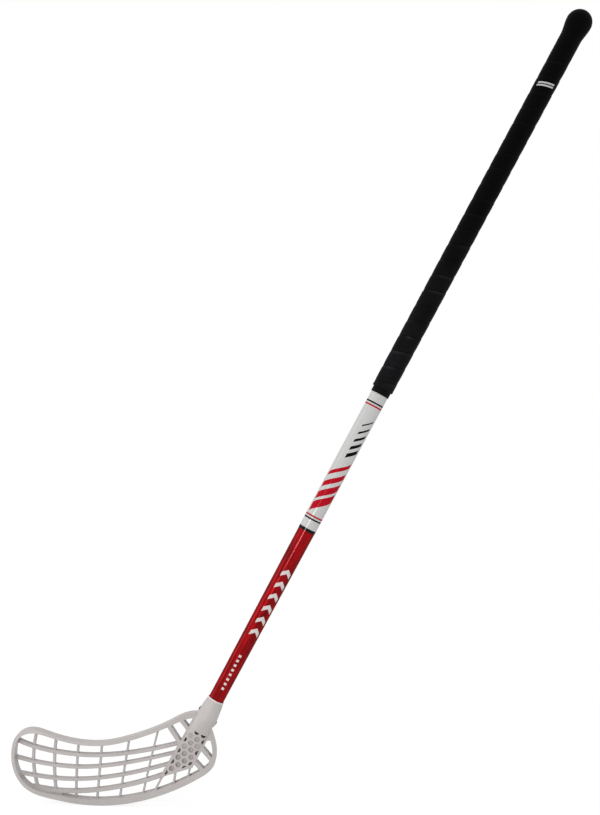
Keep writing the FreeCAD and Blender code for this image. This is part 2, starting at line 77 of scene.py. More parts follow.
# Shaft frame: heights run up from the middle of the grip, angles from the front to the right
UP = -Vector(MOUNTS["grip_hold"]["axis"]).normalized()
RIGHT = Vector((UP.z, 0.0, -UP.x))
FRONT = Vector((0.0, -1.0, 0.0))
GRIP_RADIUS = MOUNTS["grip_hold"]["dims"]["r_mm"] * MM
GRIP_HALF = MOUNTS["grip_hold"]["dims"]["length_mm"] * MM / 2
FILM_HALF = MOUNTS["shaft_clip"]["dims"]["length_mm"] * MM / 2
FILM_MIDDLE = Vector(MOUNTS["shaft_clip"]["pos_m"]).dot(UP)
BLADE_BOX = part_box("blade")
FOOT = (BLADE_BOX[0] + BLADE_BOX[1]) / 2
FLOOR_LEVEL = CAD_BOX[0].z
SOCKET_MOUTH = max(vertex.co.dot(UP) for vertex in NODES["blade"].data.vertices)

# Share of the lacquer that shines like metal flakes
LACQUER_METALLIC = 0.65
# Clear coat over lacquer, film and stripe
COAT_ROUGHNESS = 0.15
LACQUER_COAT = 0.036
LACQUER_COAT_IOR = 2.5
STRIPE_COAT = 0.2
BAND_COAT = 0.0


def colour(name, description, value):
    return FloatVectorProperty(
        name=name, description=description, default=value, subtype="COLOR", size=3, min=0.0, max=1.0
    )


def length(name, description, value):
    return FloatProperty(name=name, description=description, default=value, unit="LENGTH", precision=5)


def power(name, description, value):
    return FloatProperty(name=name, description=description, default=value, subtype="POWER", min=0.0)


def share(name, description, value):
    return FloatProperty(
        name=name, description=description, default=value, subtype="FACTOR", min=0.0, max=1.0
    )


class ShaftLook(bpy.types.PropertyGroup):
    """Lacquer, film and printed marks of the shaft."""

    lacquer: colour("Lacquer", "Red of the lower shaft", (0.315, 0.0006, 0.0036))
    lacquer_deep: colour("Deep lacquer", "Darker red of the fibre bundles", (0.137, 0.0004, 0.0012))
    film: colour("Film", "White of the film sleeve", (0.59, 0.595, 0.585))
    mark_red: colour("Red marks", "Red bars printed on the film", (0.46, 0.004, 0.016))
    mark_black: colour("Black marks", "Black bars printed on the film", (0.001, 0.001, 0.0012))
    mark_white: colour("White marks", "White chevrons printed on the lacquer", (0.70, 0.66, 0.64))
    stripe: colour("Stripe", "Black of the stripe below the film", (0.001, 0.001, 0.001))
    film_coat: share("Film coat", "Clear coat on the bare film", 0.32)
    ink_coat: share("Ink coat", "Clear coat left on the matt ink", 0.05)
    bar_slope: length("Bar slope", "Rise of a printed bar for each radian around the shaft", 0.009)
    chevron_pitch: length("Chevron pitch", "Distance between two white chevrons", 0.0165)
    chevron_count: IntProperty(
        name="Chevrons", description="Number of white chevrons", default=6, min=1, max=12
    )


class GripLook(bpy.types.PropertyGroup):
    """Wound tape of the grip and the pieces that close it."""

    tape: colour("Tape", "Black of the grip tape", (0.0026, 0.0025, 0.0026))
    # Paler black of the patches towards the bottom of the grip, also used for the painted highlight
    # strip below each lap edge
    tape_pale_and_highlight: colour("Worn tape", "Paler black where a hand rubs it", (0.0260, 0.0255, 0.0290))
    plug: colour("Plug", "Black of the butt plug", (0.0040, 0.0040, 0.0043))
    band: colour("Band", "Black of the finishing band", (0.0032, 0.0032, 0.0034))
    label: colour("Label", "Pale bars printed on the tape", (0.55, 0.55, 0.55))
    pitch: length("Pitch", "Climb of the tape in one turn", 0.0215)
    edge_height: length("Edge height", "Height of a lap's edge on the front of the grip", -0.1753)
    lap_depth: length("Lap depth", "Step at the edge of a lap", 0.0004)
    sides: IntProperty(
        name="Sides", description="Columns of faces around the grip", default=112, min=24, max=256
    )


class BladeLook(bpy.types.PropertyGroup):
    """Moulded plastic of the blade and the steel of its screws."""

    plastic: colour("Plastic", "Warm light grey of the blade", (0.490, 0.456, 0.447))
    plastic_pale: colour("Pale plastic", "Paler flow marks in the plastic", (0.538, 0.507, 0.497))
    steel: colour("Steel", "Blackened steel of the screws", (0.035, 0.035, 0.038))
    # Painted highlight: the top of the socket mouth is painted in this paler colour where its rim
    # catches the light
    mouth_painted_highlight: colour("Mouth lip", "Paler trimmed edge of the socket mouth", (0.78, 0.75, 0.74))
    edge_radius: length("Edge radius", "Rounding of the moulded edges", 0.0006)


class StudioLook(bpy.types.PropertyGroup):
    """Camera, lamps and floor."""

    eye: FloatVectorProperty(
        name="Eye",
        description="Place of the camera",
        default=(-0.2204, -1.5, -0.2418),
        subtype="TRANSLATION",
    )
    lens: FloatProperty(name="Lens", description="Focal length in millimetres", default=53.0, min=1.0)
    key: power("Key", "Power of the tall lamp on the left", 7.5)
    fill: power("Fill", "Power of the tall lamp on the right", 6.5)
    overhead: power("Overhead", "Power of the lamp above", 2.5)
    streak: power("Streak", "Power of the small lamp beside the camera", 5.2)
    room: share("Room", "Even light from the room", 0.64)


def scaled(tone, factor):
    return [factor * part for part in tone]


def shaft_point(height, angle, radius):
    return UP * height + (RIGHT * math.sin(angle) + FRONT * math.cos(angle)) * radius


class Finish:
    """A node material that is built step by step and ends in one shader."""

    def __init__(self, name):
        self.material = bpy.data.materials.new(name)
        self.material.use_nodes = True
        self.tree = self.material.node_tree
        self.shader = self.tree.nodes["Principled BSDF"]
        self.place = self.add("ShaderNodeTexCoord").outputs["Object"]

    def add(self, kind, **settings):
        node = self.tree.nodes.new(kind)
        for key, value in settings.items():
            setattr(node, key, value)
        return node

    def feed(self, socket, value):
        """Wire an output into a socket, or set a plain number or colour on it."""
        if isinstance(value, bpy.types.NodeSocket):
            self.tree.links.new(value, socket)
        elif hasattr(value, "__len__") and len(value) == 3 and socket.type == "RGBA":
            socket.default_value = (*value, 1.0)
        else:
            socket.default_value = value

    def surface(self, **values):
        """Set the shader's sockets by their names, with underscores for spaces."""
        for key, value in values.items():
            self.feed(self.shader.inputs[key.replace("_", " ")], value)

    def calc(self, operation, *values):
        node = self.add("ShaderNodeMath", operation=operation)
        for socket, value in zip(node.inputs, values):
            self.feed(socket, value)
        return node.outputs[0]

    def both(self, *masks):
        result = masks[0]
        for mask in masks[1:]:
            result = self.calc("MULTIPLY", result, mask)
        return result

    def either(self, *masks):
        result = masks[0]
        for mask in masks[1:]:
            result = self.calc("MAXIMUM", result, mask)
        return result

    def within(self, value, low, high):
        """1 where a value lies between two limits, else 0."""
        return self.both(self.calc("GREATER_THAN", value, low), self.calc("LESS_THAN", value, high))

    def distance(self, value, middle):
        return self.calc("ABSOLUTE", self.calc("SUBTRACT", value, middle))

    def repeats(self, value, foot, pitch, count, first_share, loss=0.0):
        """1 on marks that repeat up from a foot, each a share of the pitch that falls by a loss."""
        climb = self.calc("DIVIDE", self.calc("SUBTRACT", value, foot), pitch)
        lost = self.calc("MULTIPLY", self.calc("FLOOR", climb), loss)
        width = self.calc("SUBTRACT", first_share, lost)
        return self.both(
            self.within(climb, 0.0, float(count)),
            self.calc("LESS_THAN", self.calc("FRACT", climb), width),
        )

    def along(self, direction):
        node = self.add("ShaderNodeVectorMath", operation="DOT_PRODUCT")
        self.feed(node.inputs[0], self.place)
        self.feed(node.inputs[1], direction)
        return node.outputs["Value"]

    def stretched(self, *scales):
        """Coordinates across, towards the front of and up the shaft, each with its own scale."""
        node = self.add("ShaderNodeCombineXYZ")
        for socket, direction, scale in zip(node.inputs, (RIGHT, FRONT, UP), scales):
            self.feed(socket, self.calc("MULTIPLY", self.along(direction), scale))
        return node.outputs[0]

    def noise(self, scale, detail=4.0, roughness=0.55, place=None):
        node = self.add("ShaderNodeTexNoise")
        self.feed(node.inputs["Vector"], place or self.place)
        self.feed(node.inputs["Scale"], scale)
        self.feed(node.inputs["Detail"], detail)
        self.feed(node.inputs["Roughness"], roughness)
        return node.outputs["Fac"]

    def cells(self, scale):
        node = self.add("ShaderNodeTexVoronoi", feature="F1")
        self.feed(node.inputs["Vector"], self.place)
        self.feed(node.inputs["Scale"], scale)
        return node.outputs["Distance"]

    def ramp(self, value, low, high, start=0.0, stop=1.0):
        node = self.add("ShaderNodeMapRange")
        limits = {"From Min": low, "From Max": high, "To Min": start, "To Max": stop}
        for key, number in limits.items():
            self.feed(node.inputs[key], number)
        self.feed(node.inputs["Value"], value)
        return node.outputs["Result"]

    def blend(self, factor, first, second):
        node = self.add("ShaderNodeMix", data_type="RGBA")
        self.feed(node.inputs[0], factor)
        self.feed(node.inputs[6], first)
        self.feed(node.inputs[7], second)
        return node.outputs[2]

    def bump(self, height, strength, distance, below=None):
        node = self.add("ShaderNodeBump")
        self.feed(node.inputs["Strength"], strength)
        self.feed(node.inputs["Distance"], distance)
        self.feed(node.inputs["Height"], height)
        if below is not None:
            self.feed(node.inputs["Normal"], below)
        return node.outputs["Normal"]

    def rounded_edges(self, radius):
        """Normal that turns softly over the edges of the mesh."""
        node = self.add("ShaderNodeBevel", samples=8)
        self.feed(node.inputs["Radius"], radius)
        return node.outputs["Normal"]

    def round_normal(self):
        """Normal of the round shaft at a point, free of the facets of the mesh."""
        outward = self.add("ShaderNodeVectorMath", operation="MULTIPLY_ADD")
        for socket, value in zip(outward.inputs, (-UP, self.along(UP), self.place)):
            self.feed(socket, value)
        unit = self.add("ShaderNodeVectorMath", operation="NORMALIZE")
        self.feed(unit.inputs[0], outward.outputs[0])
        turned = self.add("ShaderNodeVectorTransform", vector_type="NORMAL", convert_from="OBJECT")
        turned.convert_to = "WORLD"
        self.feed(turned.inputs[0], unit.outputs[0])
        return turned.outputs[0]

    def shaft_angle(self):
        """Angle around the shaft from its front to the right, in radians."""
        return self.calc("ARCTAN2", self.along(RIGHT), self.along(FRONT))


def dress(node_name, material):
    """Give a CAD node its finish."""
    mesh = NODES[node_name].data
    mesh.materials.clear()
    mesh.materials.append(material)


# Points closer than this are joined, and edges that turn more than this stay sharp
JOIN_DISTANCE = 0.002 * MM
SHARP_ANGLE = math.radians(50.0)


def mesh_piece(name, points_and_faces, material):
    """New mesh object with smooth faces and sharp corners."""
    points, faces = points_and_faces
    mesh = bpy.data.meshes.new(name)
    mesh.from_pydata(points, [], faces)
    work = bmesh.new()
    work.from_mesh(mesh)
    bmesh.ops.remove_doubles(work, verts=work.verts, dist=JOIN_DISTANCE)
    bmesh.ops.dissolve_degenerate(work, edges=work.edges, dist=JOIN_DISTANCE)
    bmesh.ops.recalc_face_normals(work, faces=work.faces)
    for face in work.faces:
        face.smooth = True
    for edge in work.edges:
        edge.smooth = edge.calc_face_angle(0.0) < SHARP_ANGLE
    work.to_mesh(mesh)
    work.free()
    mesh.materials.append(material)
    piece = bpy.data.objects.new(name, mesh)
    bpy.context.scene.collection.objects.link(piece)
    return piece


# White chevrons and dashes on the lacquer: heights, angles in radians, shares of a pitch
CHEVRON_FOOT = -0.590
CHEVRON_MIDDLE = 0.30
CHEVRON_REACH = 0.62
CHEVRON_SHARE = 0.36
DASH_FOOT = -0.672
DASH_PITCH = 0.0065
DASH_COUNT = 8
DASH_MIDDLE = 0.05
DASH_REACH = 0.17
DASH_SHARE = 0.5


def lacquer_finish(look):
    """Red lacquer over wound fibre, with a clear coat and white chevrons."""
    finish = Finish("red_lacquer_over_fibre")
    height = finish.along(UP)
    angle = finish.shaft_angle()
    along_fibre = finish.stretched(420.0, 420.0, 60.0)
    along_shaft = finish.stretched(90.0, 90.0, 22.0)
    bundles = finish.noise(1.0, detail=5.0, roughness=0.6, place=along_fibre)
    clouds = finish.noise(1.0, detail=2.0, roughness=0.5, place=along_shaft)
    depth = finish.ramp(finish.calc("ADD", bundles, clouds), 0.85, 1.2)
    red = finish.blend(depth, look.lacquer, look.lacquer_deep)

    off_chevron = finish.distance(angle, CHEVRON_MIDDLE)
    raised = finish.calc("ADD", height, finish.calc("MULTIPLY", off_chevron, look.bar_slope))
    chevrons = finish.both(
        finish.repeats(raised, CHEVRON_FOOT, look.chevron_pitch, look.chevron_count, CHEVRON_SHARE),
        finish.calc("LESS_THAN", off_chevron, CHEVRON_REACH),
    )
    dashes = finish.both(
        finish.repeats(height, DASH_FOOT, DASH_PITCH, DASH_COUNT, DASH_SHARE),
        finish.calc("LESS_THAN", finish.distance(angle, DASH_MIDDLE), DASH_REACH),
    )
    print_mask = finish.either(chevrons, dashes)
    bare = finish.calc("SUBTRACT", 1.0, print_mask)
    fine = finish.noise(900.0, detail=3.0)
    finish.surface(
        Base_Color=finish.blend(print_mask, red, look.mark_white),
        Metallic=finish.calc("MULTIPLY", bare, LACQUER_METALLIC),
        Roughness=finish.ramp(fine, 0.3, 0.7, start=0.34, stop=0.42),
        Specular_IOR_Level=0.05,
        Specular_Tint=look.lacquer,
        Coat_Weight=LACQUER_COAT,
        Coat_IOR=LACQUER_COAT_IOR,
        Coat_Roughness=COAT_ROUGHNESS,
        Coat_Normal=finish.round_normal(),
        Normal=finish.bump(bundles, strength=0.06, distance=0.0004),
    )
    return finish.material


# Overlap of the wrapped film, at the back of the shaft
FILM_SEAM = 2.9
SEAM_WIDTH = 0.05
# Bars on the film: heights from its middle, angles in radians, shares of a pitch
RED_BAR_FOOT = -0.064
RED_BAR_PITCH = 0.0165
RED_BAR_COUNT = 4
RED_BAR_SHARE = 0.74
RED_BAR_LOSS = 0.13
RED_BAR_ANGLES = (-1.15, 1.15)
BLACK_BAR_FOOT = 0.006
BLACK_BAR_PITCH = 0.011
BLACK_BAR_COUNT = 5
BLACK_BAR_SHARE = 0.52
BLACK_BAR_LOSS = 0.08
BLACK_BAR_ANGLES = (-0.15, 1.0)
# Rings near both ends of the film: distances from the end to both edges of the ring
BLACK_RING = (0.0115, 0.0135)
RED_RING = (0.0155, 0.0175)


def film_finish(look):
    """Glossy white film with red and black bars of falling width and thin rings at both ends."""
    finish = Finish("white_printed_film")
    height = finish.along(UP)
    angle = finish.shaft_angle()
    lean = finish.calc("MULTIPLY", angle, look.bar_slope)
    slanted = finish.calc("SUBTRACT", height, lean)
    from_middle = finish.calc("SUBTRACT", slanted, FILM_MIDDLE)
    red_bars = finish.both(
        finish.repeats(
            from_middle,
            RED_BAR_FOOT,
            RED_BAR_PITCH,
            RED_BAR_COUNT,
            first_share=RED_BAR_SHARE,
            loss=RED_BAR_LOSS,
        ),
        finish.within(angle, *RED_BAR_ANGLES),
    )
    black_bars = finish.both(
        finish.repeats(
            from_middle,
            BLACK_BAR_FOOT,
            BLACK_BAR_PITCH,
            BLACK_BAR_COUNT,
            first_share=BLACK_BAR_SHARE,
            loss=BLACK_BAR_LOSS,
        ),
        finish.within(angle, *BLACK_BAR_ANGLES),
    )
    from_end = finish.calc("SUBTRACT", FILM_HALF, finish.distance(height, FILM_MIDDLE))
    black_ring = finish.within(from_end, *BLACK_RING)
    red_ring = finish.within(from_end, *RED_RING)
    seam = finish.ramp(finish.distance(angle, FILM_SEAM), 0.0, SEAM_WIDTH)
    clouds = finish.noise(60.0, detail=3.0)
    dull_white = scaled(look.film, 0.95)
    white = finish.blend(finish.ramp(clouds, 0.35, 0.65, stop=0.5), look.film, dull_white)
    red_ink = finish.either(red_bars, red_ring)
    black_ink = finish.either(black_bars, black_ring)
    paint = finish.blend(black_ink, finish.blend(red_ink, white, look.mark_red), look.mark_black)
    ink = finish.either(red_ink, black_ink)
    waves = finish.bump(finish.noise(240.0, detail=2.0), strength=0.05, distance=0.0003)
    finish.surface(
        Base_Color=paint,
        Roughness=finish.ramp(finish.noise(700.0, detail=3.0), 0.3, 0.7, start=0.34, stop=0.42),
        Specular_IOR_Level=0.02,
        Coat_Weight=finish.ramp(ink, 0.0, 1.0, start=look.film_coat, stop=look.ink_coat),
        Coat_Roughness=COAT_ROUGHNESS,
        Coat_Normal=finish.round_normal(),
        Normal=finish.bump(seam, strength=0.5, distance=0.0004, below=waves),
    )
    return finish.material


def tape_band_finish(name, tone, coat):
    """Thin stretched tape: satin black, fine lines around the shaft, a share of clear coat."""
    finish = Finish(name)
    lines = finish.noise(1.0, detail=3.0, roughness=0.6, place=finish.stretched(40.0, 40.0, 1600.0))
    finish.surface(
        Base_Color=finish.blend(finish.ramp(lines, 0.3, 0.7), tone, scaled(tone, 1.9)),
        Roughness=finish.ramp(lines, 0.3, 0.7, start=0.38, stop=0.52),
        Specular_IOR_Level=0.03,
        Normal=finish.bump(lines, strength=0.2, distance=0.0002),
        Coat_Weight=coat,
        Coat_Roughness=COAT_ROUGHNESS,
        Coat_Normal=finish.round_normal(),
    )
    return finish.material


# Painted shadow line above the edge of a lap: its share of the pitch, and how black it is
LAP_SHADOW_SHARE = 0.045
LAP_SHADOW_DEPTH = 0.6
# Strip below the edge of a lap painted paler as a highlight, as shares of the pitch
LAP_HIGHLIGHT_SHARES = (0.80, 0.97)
# Label on the grip: lean for each radian, heights of its two bars, angles of its ends
LABEL_SLOPE = 0.0034
LABEL_BARS = ((0.1770, 0.1792), (0.1806, 0.1828))
LABEL_ANGLES = (-0.85, 0.75)


def grip_finish(look):
    """Matt foamed tape with fine pores, paler patches low down, painted highlights and shadows at the
    laps, and a small label.
    """
    finish = Finish("black_foamed_tape")
    height = finish.along(UP)
    angle = finish.shaft_angle()
    pores = finish.cells(1500.0)
    grain = finish.noise(900.0, detail=3.0, roughness=0.6)
    patches = finish.noise(38.0, detail=3.0)
    turns = finish.calc("DIVIDE", finish.calc("SUBTRACT", height, look.edge_height), look.pitch)
    around = finish.calc("DIVIDE", angle, math.tau)
    phase = finish.calc("FRACT", finish.calc("SUBTRACT", turns, around))
    # Painted highlight: a paler strip below each lap edge, stronger towards the bottom of the grip
    edges = finish.both(finish.ramp(phase, *LAP_HIGHLIGHT_SHARES), finish.ramp(patches, 0.42, 0.6))
    low = finish.ramp(height, 0.0, -GRIP_HALF)
    # Paler in random patches towards the bottom of the grip
    paler_low_patches = finish.calc("MULTIPLY", low, finish.ramp(patches, 0.3, 0.7, start=0.18, stop=0.38))
    lap_edge_highlight = finish.calc("MULTIPLY", edges, finish.ramp(low, 0.0, 1.0, start=0.1, stop=0.9))
    black = finish.blend(finish.calc("ADD", paler_low_patches, lap_edge_highlight), look.tape, look.tape_pale_and_highlight)
    # Painted shadow: a darker line just above each lap edge, where the tape steps down
    lap_step_shadow = finish.calc("LESS_THAN", phase, LAP_SHADOW_SHARE)
    black = finish.blend(finish.calc("MULTIPLY", lap_step_shadow, LAP_SHADOW_DEPTH), black, (0.0, 0.0, 0.0))
    slanted = finish.calc("SUBTRACT", height, finish.calc("MULTIPLY", angle, LABEL_SLOPE))
    bars = finish.either(*[finish.within(slanted, *limits) for limits in LABEL_BARS])
    label = finish.both(bars, finish.within(angle, *LABEL_ANGLES))
    rough = finish.bump(grain, strength=0.35, distance=0.0003)
    finish.surface(
        Base_Color=finish.blend(label, black, look.label),
        Roughness=finish.ramp(finish.calc("ADD", grain, patches), 0.7, 1.3, start=0.50, stop=0.62),
        Specular_IOR_Level=0.03,
        Specular_Tint=(0.5, 0.5, 0.5),
        Normal=finish.bump(pores, strength=0.25, distance=0.0002, below=rough),
    )
    return finish.material


def plug_finish(look):
    """Matt moulded plastic with a spark-eroded grain."""
    finish = Finish("black_moulded_plug")
    grain = finish.noise(1400.0, detail=4.0, roughness=0.65)
    finish.surface(
        Base_Color=finish.blend(grain, look.plug, scaled(look.plug, 1.6)),
        Roughness=finish.ramp(grain, 0.3, 0.7, start=0.45, stop=0.6),
        Specular_IOR_Level=0.04,
        Normal=finish.bump(grain, strength=0.3, distance=0.0002),
    )
    return finish.material


# Band at the top of the socket mouth painted paler as a highlight of its lit rim
MOUTH_HIGHLIGHT_HEIGHT = 0.0014


def plastic_finish(look):
    """Satin moulded plastic with faint flow marks, softly rounded edges and a painted highlight at the
    socket mouth.
    """
    finish = Finish("grey_moulded_plastic")
    flow = finish.noise(26.0, detail=4.0, roughness=0.6)
    grain = finish.noise(1100.0, detail=3.0, roughness=0.6)
    grey = finish.blend(finish.ramp(flow, 0.3, 0.7), look.plastic, look.plastic_pale)
    edges = finish.rounded_edges(look.edge_radius)
    swell = finish.noise(150.0, detail=2.0)
    waves = finish.bump(swell, strength=0.06, distance=0.0006, below=edges)
    # Painted highlight: a thin band at the top of the socket mouth is painted paler
    painted_highlight = finish.ramp(finish.along(UP), SOCKET_MOUTH - MOUTH_HIGHLIGHT_HEIGHT, SOCKET_MOUTH - 0.8 * MOUTH_HIGHLIGHT_HEIGHT)
    finish.surface(
        Base_Color=finish.blend(painted_highlight, grey, look.mouth_painted_highlight),
        Roughness=finish.ramp(finish.calc("ADD", flow, grain), 0.7, 1.3, start=0.40, stop=0.52),
        Specular_IOR_Level=0.45,
        Normal=finish.bump(grain, strength=0.10, distance=0.0002, below=waves),
    )
    return finish.material


def steel_finish(look):
    """Blackened steel with worn bright specks."""
    finish = Finish("blackened_steel")
    wear = finish.noise(1800.0, detail=4.0, roughness=0.7)
    bright = scaled(look.steel, 3.0)
    finish.surface(
        Base_Color=finish.blend(finish.ramp(wear, 0.55, 0.75), look.steel, bright),
        Metallic=0.9,
        Roughness=finish.ramp(wear, 0.3, 0.7, start=0.32, stop=0.5),
        Normal=finish.bump(wear, strength=0.15, distance=0.0001),
    )
    return finish.material


# Wound tape: rows of points within one lap, from its edge to the next, and the shape of the lap
LAP_ROWS = (0.0, 0.025, 0.07, 0.13, 0.21, 0.31, 0.42, 0.56, 0.70, 0.83, 0.915, 0.95, 0.97, 0.985)
LAP_CLIMB = 0.45
LAP_LIP = 0.93
# Step of a lap as a share of the full one: its mean, its spread, and its change from lap to lap
LAP_MEAN = 0.85
LAP_SPREAD = 0.15
LAP_CHANGE = 2.4
# Heights between which the laps die out below the knob
LAPS_FADE_FROM = 0.205
LAPS_FADE_TO = 0.238

# Butt end under the tape
TUBE_RADIUS = 0.011
TUBE_TOP = GRIP_HALF + 0.003
KNOB_HEIGHT = GRIP_HALF + 0.023
KNOB_RADIUS = 0.0165
CORE_RADIUS = 0.0143
BUTTON_RADIUS = 0.007
LIP_RADIUS = 0.0005
FLARE_ROWS = 16
DOME_ROWS = 18
INSIDE_ROWS = 8


def ease(value):
    value = min(1.0, max(0.0, value))
    return value * value * (3.0 - 2.0 * value)


def lap_drop(phase):
    """Depth of the tape's face below its crest, as a share of the lap's step."""
    if phase > LAP_LIP:
        reach = (phase - LAP_LIP) / (1.0 - LAP_LIP)
        return 1.0 - math.sqrt(1.0 - reach * reach)
    return 1.0 - ease(phase / LAP_CLIMB)


def tape_radius(look, height, angle):
    turn = (height - look.edge_height) / look.pitch - angle / math.tau
    lap = math.floor(turn + 1e-6)
    uneven = LAP_MEAN + LAP_SPREAD * math.sin(LAP_CHANGE * lap)
    fade = 1.0 - ease((height - LAPS_FADE_FROM) / (LAPS_FADE_TO - LAPS_FADE_FROM))
    return GRIP_RADIUS - look.lap_depth * uneven * fade * lap_drop(max(0.0, turn - lap))


def butt_profile():
    """Radii and heights from the top of the straight grip over the knob and back down inside."""
    rows = []
    for i in range(1, FLARE_ROWS + 1):
        part = i / FLARE_ROWS
        radius = GRIP_RADIUS + (KNOB_RADIUS - GRIP_RADIUS) * ease(part)
        rows.append((radius, GRIP_HALF + (KNOB_HEIGHT - GRIP_HALF) * part))
    last = math.acos((BUTTON_RADIUS + 2 * LIP_RADIUS) / KNOB_RADIUS)
    for i in range(1, DOME_ROWS + 1):
        tilt = last * i / DOME_ROWS
        rows.append((KNOB_RADIUS * math.cos(tilt), KNOB_HEIGHT + KNOB_RADIUS * math.sin(tilt)))
    rim_radius, rim_height = rows[-1]
    rows.append((rim_radius - LIP_RADIUS, rim_height - 0.1 * LIP_RADIUS))
    rows.append((BUTTON_RADIUS, rim_height - LIP_RADIUS))
    first = math.acos(BUTTON_RADIUS / CORE_RADIUS)
    for i in range(INSIDE_ROWS + 1):
        tilt = first * (1 - i / INSIDE_ROWS)
        rows.append((CORE_RADIUS * math.cos(tilt), KNOB_HEIGHT + CORE_RADIUS * math.sin(tilt)))
    rows.append((TUBE_RADIUS, TUBE_TOP))
    rows.append((TUBE_RADIUS, -GRIP_HALF))
    return rows


def ring_faces(below, above, sides):
    """Faces between two rings of points, each given by the number of its first point."""
    faces = []
    for i in range(sides):
        after = (i + 1) % sides
        faces.append((below + i, below + after, above + after, above + i))
    return faces


def wound_tape(look):
    """Points and faces of the tape: its rows climb with the laps, and the butt end closes it."""
    sides = look.sides
    per_turn = len(LAP_ROWS)
    first_lap = math.floor((-GRIP_HALF - look.edge_height) / look.pitch) - 2
    last_lap = math.ceil((GRIP_HALF - look.edge_height) / look.pitch) + 2
    starts = [
        look.edge_height + look.pitch * (lap - 0.5 + row)
        for lap in range(first_lap, last_lap)
        for row in LAP_ROWS
    ]
    angles = [-math.pi + math.tau * i / sides for i in range(sides)]
    points = []
    for start in starts:
        for i, angle in enumerate(angles):
            height = start + look.pitch * i / sides
            height = min(GRIP_HALF, max(-GRIP_HALF, height))
            points.append(shaft_point(height, angle, tape_radius(look, height, angle)))
    faces = []
    rows = len(starts)
    for row in range(rows - 1):
        for i in range(sides):
            after = (i + 1) % sides
            shift = per_turn if after == 0 else 0
            right_low = min(row + shift, rows - 1)
            right_high = min(row + shift + 1, rows - 1)
            right = (right_low * sides + after, right_high * sides + after)
            faces.append((row * sides + i, *right, (row + 1) * sides + i))
    rings = [(rows - 1) * sides]
    for radius, height in butt_profile():
        rings.append(len(points))
        points += [shaft_point(height, angle, radius) for angle in angles]
    rings.append(0)
    for below, above in zip(rings, rings[1:]):
        faces += ring_faces(below, above, sides)
    faces = [face for face in faces if len(set(face)) == 4]
    return points, faces


class STICK_OT_shaft(bpy.types.Operator):
    """Finish the shaft tube, the film sleeve and the stripe"""

    bl_idname = "stick.shaft"
    bl_label = "Shaft, film and stripe"

    def execute(self, context):
        look = context.scene.stick_shaft
        dress("shaft_tube", lacquer_finish(look))
        dress("white_film_sleeve", film_finish(look))
        dress("stripe_tape", tape_band_finish("black_stripe", look.stripe, STRIPE_COAT))
        return {"FINISHED"}


class STICK_OT_grip(bpy.types.Operator):
    """Wind the grip tape and finish the band and the butt plug"""

    bl_idname = "stick.grip"
    bl_label = "Grip tape, band and plug"

    def execute(self, context):
        look = context.scene.stick_grip
        tape = mesh_piece("grip_tape", wound_tape(look), grip_finish(look))
        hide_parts("grip_wrap")
        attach(tape, "stick")
        band = tape_band_finish("black_finishing_band", look.band, BAND_COAT)
        dress("grip_finishing_band", band)
        dress("butt_plug", plug_finish(look))
        return {"FINISHED"}


class STICK_OT_blade(bpy.types.Operator):
    """Finish the blade"""

    bl_idname = "stick.blade"
    bl_label = "Blade"

    def execute(self, context):
        dress("blade", plastic_finish(context.scene.stick_blade))
        return {"FINISHED"}


class STICK_OT_screws(bpy.types.Operator):
    """Finish both blade screws"""

    bl_idname = "stick.screws"
    bl_label = "Blade screws"

    def execute(self, context):
        steel = steel_finish(context.scene.stick_blade)
        for name in ("blade_screw_left", "blade_screw_right"):
            dress(name, steel)
        return {"FINISHED"}


# Lamps: place from the middle of the picture, in metres, then width and height
KEY_PLACE = Vector((-1.75, -0.25, 0.60))
KEY_SIZE = (0.6, 1.6)
FILL_PLACE = Vector((1.7, -0.8, -0.5))
FILL_SIZE = (0.45, 1.6)
OVERHEAD_PLACE = Vector((0.0, -0.4, 2.0))
OVERHEAD_SIZE = (1.8, 1.4)
# Small lamp beside the camera, whose mirror image is the thin streak on film and lacquer
STREAK_HEIGHT = -0.5627
STREAK_ANGLE = math.radians(-25.0)
STREAK_SIZE = (0.20, 0.12)
# Floor: half its side, where its soft shadow ends, and its shades near the stick and in a bounce
FLOOR_REACH = 40.0
SHADOW_FROM = 0.25
SHADOW_TO = 0.9
NEAR_SHADE = 0.20
NEAR_GLOW = 0.86
BOUNCE_SHADE = 0.8
SENSOR_WIDTH = 36.0


def soft_lamp(name, place, aim, upright, size, watts):
    """Rectangular lamp that faces a point, with its height along a direction."""
    width, height = size
    back = (place - aim).normalized()
    side = upright.cross(back).normalized()
    lamp = bpy.data.lights.new(name, "AREA")
    lamp.shape = "RECTANGLE"
    lamp.size = width
    lamp.size_y = height
    lamp.energy = watts
    piece = bpy.data.objects.new(name, lamp)
    piece.location = place
    piece.rotation_euler = Matrix((side, back.cross(side), back)).transposed().to_euler()
    piece.visible_camera = False
    bpy.context.scene.collection.objects.link(piece)


def seen_directly(tree):
    """1 for rays that show the background itself or its mirror image."""
    path = tree.nodes.new("ShaderNodeLightPath")
    result = path.outputs["Is Camera Ray"]
    for name in ("Is Glossy Ray", "Is Transmission Ray"):
        most = tree.nodes.new("ShaderNodeMath")
        most.operation = "MAXIMUM"
        tree.links.new(result, most.inputs[0])
        tree.links.new(path.outputs[name], most.inputs[1])
        result = most.outputs[0]
    return result


